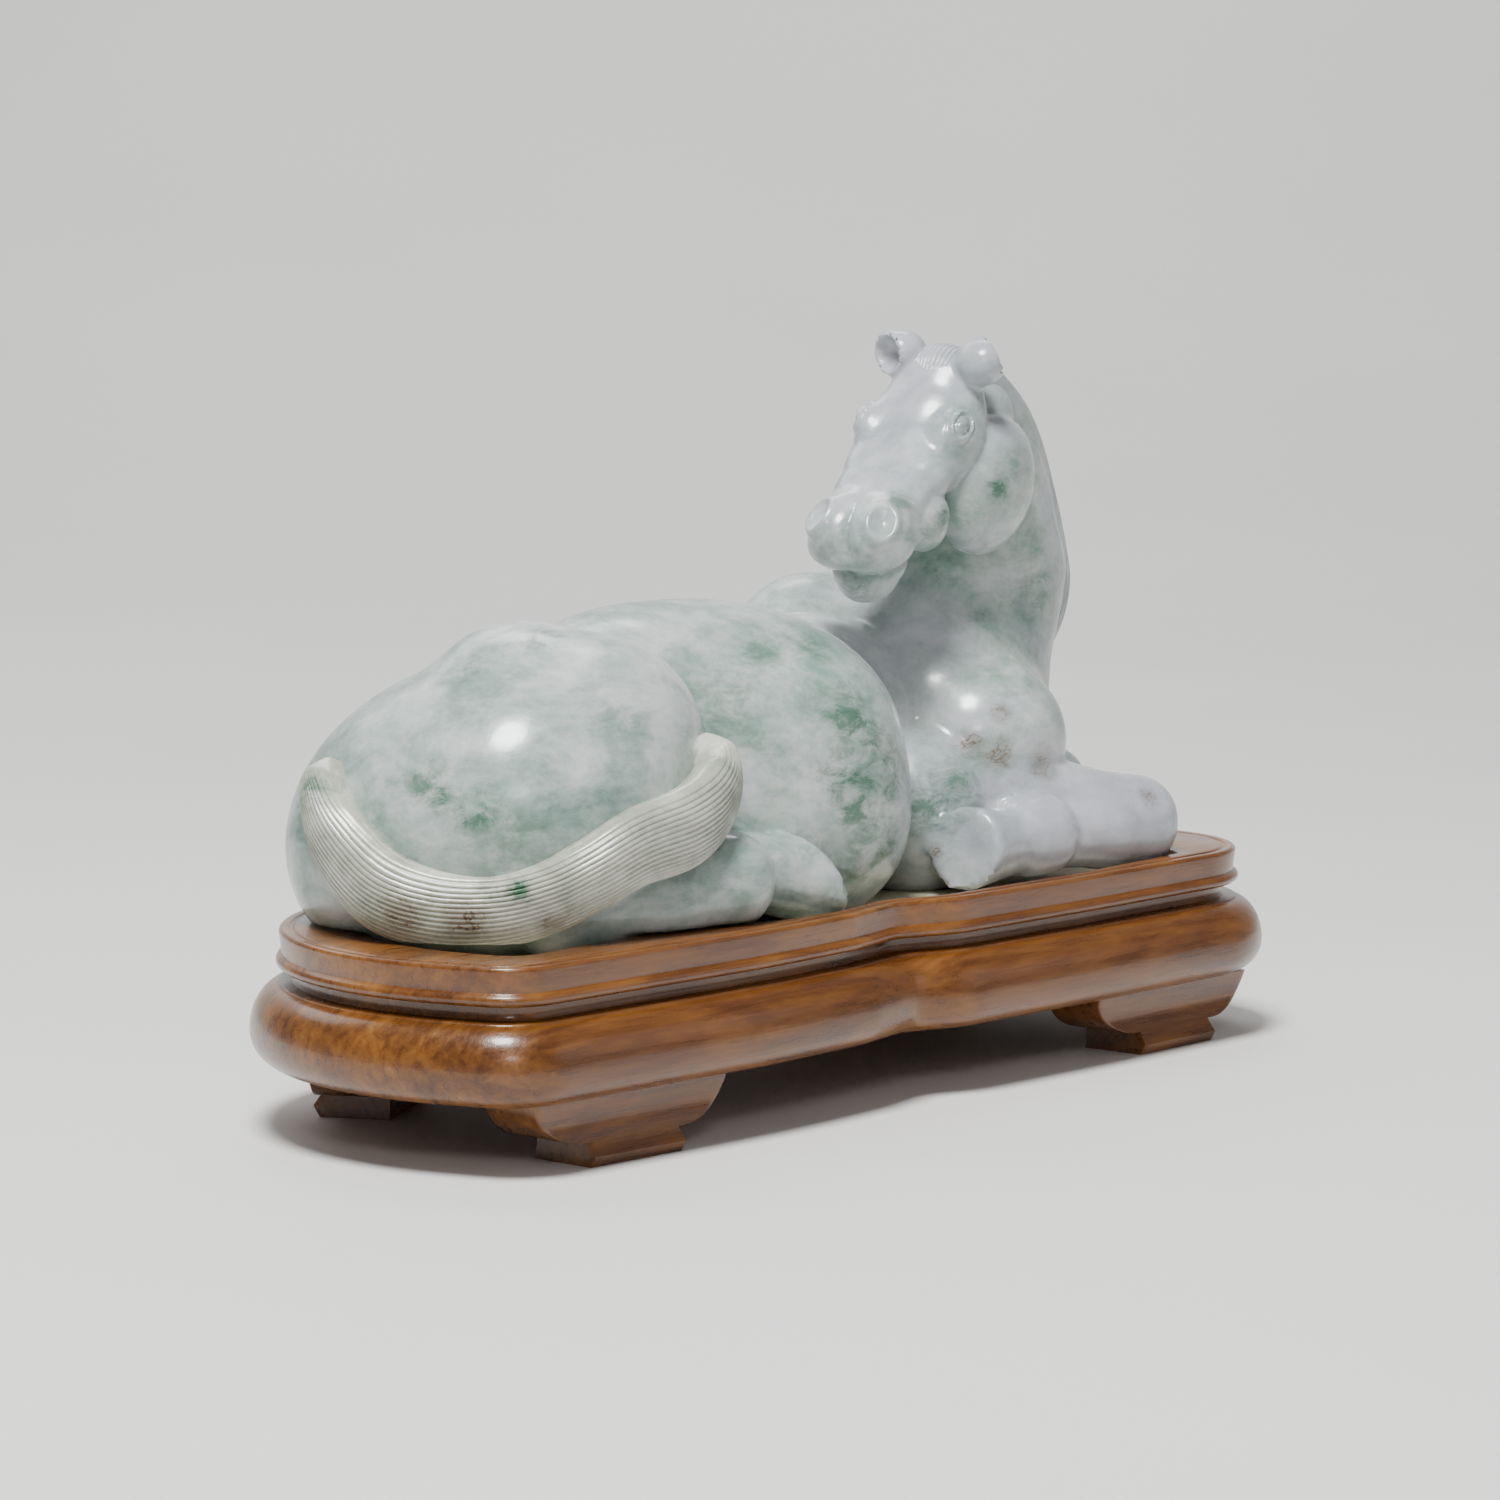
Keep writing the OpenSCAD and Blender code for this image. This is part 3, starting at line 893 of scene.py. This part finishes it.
# The same on the head, in head coordinates.
HEAD_GREEN = [
    (-2, 19, -18, 5.2, 0.81), (22, 13, -15, 6.5, 0.51), (28, 9, -4, 5.2, 0.59),
    (17, 14, -14, 5.85, 0.68), (41, 2, -20, 6.5, 0.59), (-10, 20, -18, 3.9, 0.42),
    (8, -15, -16, 6.5, 0.42),
]
RUSSET = [
    (59, -33, 86, 4, 0.7), (52, -29, 79, 5, 0.85), (57, -34, 76, 6, 0.85), (69, -38, 73, 6, 0.8),
    (99, -49, 63, 4, 0.7), (35, -32, 54, 3, 0.8), (-20, 30, 104, 6, 0.6),
]
TAIL_STAINS = [
    (-131, -12, 55, 7, 1.0), (-124, -25, 54, 7, 1.0), (-112, -40, 53, 4, 0.7),
    (-128, -10, 66, 4, 0.6),
]
TAIL_GREEN = [
    (-116, -34, 61, 5, 0.95), (-131, 14, 80, 7, 0.85), (-121, -29, 60, 4, 0.7),
    (-66, -53, 70, 6, 0.4),
]


LAVENDER = (0.44, 0.42, 0.50)
PALE_GRAIN = (0.70, 0.72, 0.70)
VEIN_WIDTH = 0.035


def jade(name, light, deep, patches, patch_colour, veins, vein_colour, bumps):
    """Polished jadeite: cloudy ground colours, ragged patches and fine veins."""
    material, tree = new_material(name)
    shader = tree.nodes["Principled BSDF"]
    where = object_place(tree)
    clouds = noise(tree, where, 24, 8, 0.64, 0.3)
    haze = noise(tree, object_place(tree, (1, 1, 1.5), (0.4, 0.2, 0.7)), 11, 5, 0.6, 0.5)
    grains = noise(tree, where, 240, 5, 0.7)
    mottle = noise(tree, object_place(tree, (1, 1, 1.6), (0.3, 0.5, 0.1)), 58, 9, 0.72, 0.35)
    tone = maths(tree, "ADD", maths(tree, "MULTIPLY", clouds, 0.45),
                 maths(tree, "MULTIPLY", mottle, 0.55))
    ground = ramp(tree, remap(tree, tone, 0.37, 0.60), [(0, deep), (0.42, light[0]), (1, light[1])])
    lavender = maths(tree, "MULTIPLY", remap(tree, haze, 0.36, 0.54),
                     remap(tree, node(tree, "ShaderNodeSeparateXYZ", {0: where}).outputs[0],
                           -0.02, 0.06, 0.15, 0.7))
    ground = mix(tree, lavender, ground, LAVENDER)
    ground = mix(tree, remap(tree, grains, 0.45, 0.75, 0, 0.22), ground, PALE_GRAIN)
    ragged = noise(tree, object_place(tree, (1, 1, 1.7), (0.5, 0.3, 0.2)), 110, 8, 0.72, 0.5)
    cover = spots(tree, where, patches, ragged)
    flecks = maths(tree, "MULTIPLY", cover, remap(tree, ragged, 0.42, 0.58, 0.2, 1.1))
    ground = mix(tree, flecks, ground, patch_colour)
    thread = noise(tree, object_place(tree, (1, 1, 1.4)), 70, 6, 0.6, 2.0)
    line = maths(tree, "SUBTRACT", 1.0, remap(tree, maths(tree, "ABSOLUTE",
                 maths(tree, "SUBTRACT", thread, 0.5), 0), 0.0, VEIN_WIDTH))
    stain = spots(tree, where, veins, ragged)
    ground = mix(tree, maths(tree, "MULTIPLY", stain, remap(tree, line, 0, 1, 0.45, 1)),
                 ground, vein_colour)
    tree.links.new(ground, shader.inputs["Base Color"])
    polish = noise(tree, where, 55, 3)
    tree.links.new(remap(tree, polish, 0.3, 0.7, 0.20, 0.30), shader.inputs["Roughness"])
    shader.inputs["IOR"].default_value = 1.6
    shader.inputs["Subsurface Weight"].default_value = 0.1
    shader.inputs["Subsurface Radius"].default_value = (1.0, 1.1, 1.0)
    shader.inputs["Subsurface Scale"].default_value = 0.004
    shader.inputs["Coat Weight"].default_value = 0.2
    shader.inputs["Coat Roughness"].default_value = 0.08
    tree.links.new(bump(tree, noise(tree, where, bumps, 4), 0.00012), shader.inputs["Normal"])
    return material


def wood(name, turned=(0, 0, 0), dark=1.0, rough=0.24):
    """Varnished hardwood: long grain along its own x, darker pores and slow colour changes."""
    material, tree = new_material(name)
    shader = tree.nodes["Principled BSDF"]
    grain_place = object_place(tree, (0.09, 1, 1), turned)
    grain = noise(tree, grain_place, 420, 7, 0.62, 0.35)
    figure = noise(tree, object_place(tree, (0.22, 1, 1), turned), 60, 5, 0.6, 1.4)
    slow = noise(tree, object_place(tree, (0.5, 1, 1), turned), 14, 3)
    tone = maths(tree, "ADD", maths(tree, "MULTIPLY", grain, 0.45),
                 maths(tree, "MULTIPLY", figure, 0.55))
    stops = [(0.0, (0.042, 0.012, 0.002)), (0.35, (0.110, 0.036, 0.006)),
             (0.62, (0.185, 0.068, 0.011)), (1.0, (0.290, 0.120, 0.022))]
    stops = [(place, tuple(c * dark for c in colour)) for place, colour in stops]
    colour = ramp(tree, remap(tree, tone, 0.30, 0.70), stops)
    shade = mix(tree, remap(tree, slow, 0.4, 0.7, 0, 0.4), colour, (0.130, 0.042, 0.012))
    pores = noise(tree, object_place(tree, (0.045, 1, 1), turned), 1300, 3, 0.6)
    shade = mix(tree, remap(tree, pores, 0.60, 0.76, 0, 0.5), shade, (0.045, 0.016, 0.005))
    tree.links.new(shade, shader.inputs["Base Color"])
    tree.links.new(remap(tree, grain, 0.3, 0.7, rough, rough + 0.12), shader.inputs["Roughness"])
    shader.inputs["Coat Weight"].default_value = 0.35
    shader.inputs["Coat Roughness"].default_value = 0.14
    tree.links.new(bump(tree, maths(tree, "ADD", grain, pores), 0.00008), shader.inputs["Normal"])
    return material


def packing_paper():
    """Pale fibrous sheet."""
    material, tree = new_material("packing_paper")
    shader = tree.nodes["Principled BSDF"]
    fibres = noise(tree, object_place(tree), 900, 5, 0.7, 0.8)
    tree.links.new(ramp(tree, fibres, [(0.3, (0.50, 0.43, 0.30)), (0.7, (0.74, 0.68, 0.54))]),
                   shader.inputs["Base Color"])
    shader.inputs["Roughness"].default_value = 0.85
    tree.links.new(bump(tree, fibres, 0.0002), shader.inputs["Normal"])
    return material


# ---- Assembly ----
def join_hair(sculpted, locks, stones):
    """One closed stone: the ribbons are joined onto the sculpt, each keeping its material."""
    for piece, stone in [(sculpted, stones["body"])] + locks:
        piece.data.materials.append(stone)
    for piece, _ in locks:
        joint = sculpted.modifiers.new(piece.name, "BOOLEAN")
        joint.operation = "UNION"
        joint.solver = "MANIFOLD"
        joint.material_mode = "TRANSFER"
        joint.object = piece
    graph = bpy.context.evaluated_depsgraph_get()
    whole = bpy.data.meshes.new_from_object(sculpted.evaluated_get(graph))
    whole.name = "horse_carved"
    whole.shade_smooth()
    whole.set_sharp_from_angle(angle=math.radians(60))
    carved = bpy.data.objects.new("horse_carved", whole)
    bpy.context.scene.collection.objects.link(carved)
    for piece, _ in locks:
        bpy.data.objects.remove(piece)
    bpy.data.objects.remove(sculpted)
    return carved


GREY_GREEN = ((0.25, 0.35, 0.30), (0.56, 0.59, 0.565))
HEAD_PATCHES = [(*(HEAD_PLACE + HEAD_AXES @ np.array(row[:3])), *row[3:]) for row in HEAD_GREEN]
STONES = {
    "body": jade("jade_body", GREY_GREEN, (0.105, 0.195, 0.155), EMERALD + HEAD_PATCHES,
                 (0.030, 0.115, 0.062), RUSSET, (0.11, 0.048, 0.014), 160),
    "tail": jade("jade_tail", ((0.37, 0.39, 0.29), (0.58, 0.59, 0.49)), (0.21, 0.25, 0.17),
                 TAIL_GREEN, (0.030, 0.11, 0.05), TAIL_STAINS, (0.10, 0.035, 0.012), 300),
    "mane": jade("jade_mane", ((0.28, 0.36, 0.31), (0.52, 0.56, 0.52)), (0.16, 0.25, 0.20),
                 EMERALD, (0.035, 0.13, 0.07), RUSSET, (0.22, 0.08, 0.02), 300),
}

horse = join_hair(sculpt(), [
    (lock("tail_hair", TAIL, TAIL_MIDDLE, 17, 6.0, 0.38), STONES["tail"]),
    (lock("mane_hair", MANE, MANE_MIDDLE, 32, 5.2, 0.4, lean=0.9, bow=22, fine=6), STONES["mane"]),
    (lock("forelock_hair", head_rows(FORELOCK), HEAD_PLACE + HEAD_AXES @ np.array(FORELOCK_MIDDLE),
          12, 1.6, 0.35, lean=1.0, bow=14), STONES["body"]),
], STONES)
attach(horse, "horse")
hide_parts("jade_horse")


def place_on_stand(piece, material, slot_name, *nodes):
    piece.data.materials.append(material)
    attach(piece, "stand")
    if nodes:
        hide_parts(*nodes)


place_on_stand(seat_board(), wood("board_wood"), "rim_wood", "seat_board")
place_on_stand(apron(), wood("apron_wood", dark=0.9), "apron_wood", "apron_ring")
place_on_stand(packing(), packing_paper(), "packing", "seat_liner")
for foot_name in FEET:
    angle = math.radians(-FEET[foot_name][2])
    place_on_stand(foot(foot_name), wood(foot_name + "_wood", (0, 0, angle), 0.92), "foot_wood",
                   foot_name)
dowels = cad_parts["foot_dowels"]
dowels.data.materials.clear()
dowels.data.materials.append(wood("dowel_wood", (0, math.pi / 2, 0), 1.4, 0.5))


# ---- Studio: places in metres ----
AIM = (0, 0, 0.09)
CAMERA_PLACE = (-1.0934, -0.9525, 0.250)
CAMERA_LOOK = (0.74956, 0.65158, -0.11667)
CAMERA_LENS = 144
CAMERA_SENSOR = 36
SKY = (0.9, 0.95, 1.0, 1)
SKY_STRENGTH = 0.2
LIGHTS = [
    ("key", (-0.55, -0.25, 1.4), AIM, (0.5, 0.5), 40),
    ("spark", (-1.05, -1.05, 0.78), AIM, (0.42, 0.24), 3),
    ("fill", (0.9, -1.3, 0.7), AIM, (1.2, 0.9), 1.5),
    ("back", (0.3, 1.3, 1.1), AIM, (1.4, 0.7), 5),
    ("backdrop", (1.1, 1.0, 1.9), (1.9, 1.7, 0), (1.2, 1.2), 26),
]


def floor_material():
    material, tree = new_material("studio_floor")
    shader = tree.nodes["Principled BSDF"]
    tone = noise(tree, object_place(tree), 3, 2)
    tree.links.new(ramp(tree, tone, [(0.3, (0.74, 0.73, 0.71)), (0.7, (0.78, 0.77, 0.75))]),
                   shader.inputs["Base Color"])
    shader.inputs["Roughness"].default_value = 0.7
    return material


def studio_floor():
    """A wide plain floor that curves up a long way behind the stand."""
    bend_start, bend_r, top = 1.2, 1.6, 4
    profile = [(-3, 0), (bend_start, 0)]
    profile += [(bend_start + bend_r * math.sin(a), bend_r - bend_r * math.cos(a))
                for a in np.radians(np.linspace(5, 90, 18))] + [(bend_start + bend_r, top)]
    across = Vector((0.656, -0.755, 0))
    away = Vector((0.755, 0.656, 0))
    vertices = [(away * d + across * side + Vector((0, 0, z))) / MM
                for d, z in profile for side in (-7, 7)]
    faces = [(2 * i, 2 * i + 1, 2 * i + 3, 2 * i + 2) for i in range(len(profile) - 1)]
    backdrop = make_object("studio_floor", [tuple(v) for v in vertices], faces, 60)
    backdrop.data.materials.append(floor_material())


def area_light(name, place, target, size, power):
    light = bpy.data.lights.new(name, "AREA")
    light.shape = "ELLIPSE"
    light.size, light.size_y = size
    light.energy = power
    lamp = bpy.data.objects.new(name, light)
    lamp.location = place
    lamp.rotation_euler = (Vector(target) - Vector(place)).to_track_quat("-Z", "Y").to_euler()
    bpy.context.scene.collection.objects.link(lamp)


studio_floor()
for row in LIGHTS:
    area_light(*row)

world = bpy.data.worlds.new("studio_world")
world.use_nodes = True
world.node_tree.nodes["Background"].inputs[0].default_value = SKY
world.node_tree.nodes["Background"].inputs[1].default_value = SKY_STRENGTH
bpy.context.scene.world = world

camera_data = bpy.data.cameras.new("camera")
camera_data.lens = CAMERA_LENS
camera_data.sensor_width = CAMERA_SENSOR
camera = bpy.data.objects.new("camera", camera_data)
camera.location = CAMERA_PLACE
camera.rotation_euler = Vector(CAMERA_LOOK).to_track_quat("-Z", "Y").to_euler()
bpy.context.scene.collection.objects.link(camera)
bpy.context.scene.camera = camera
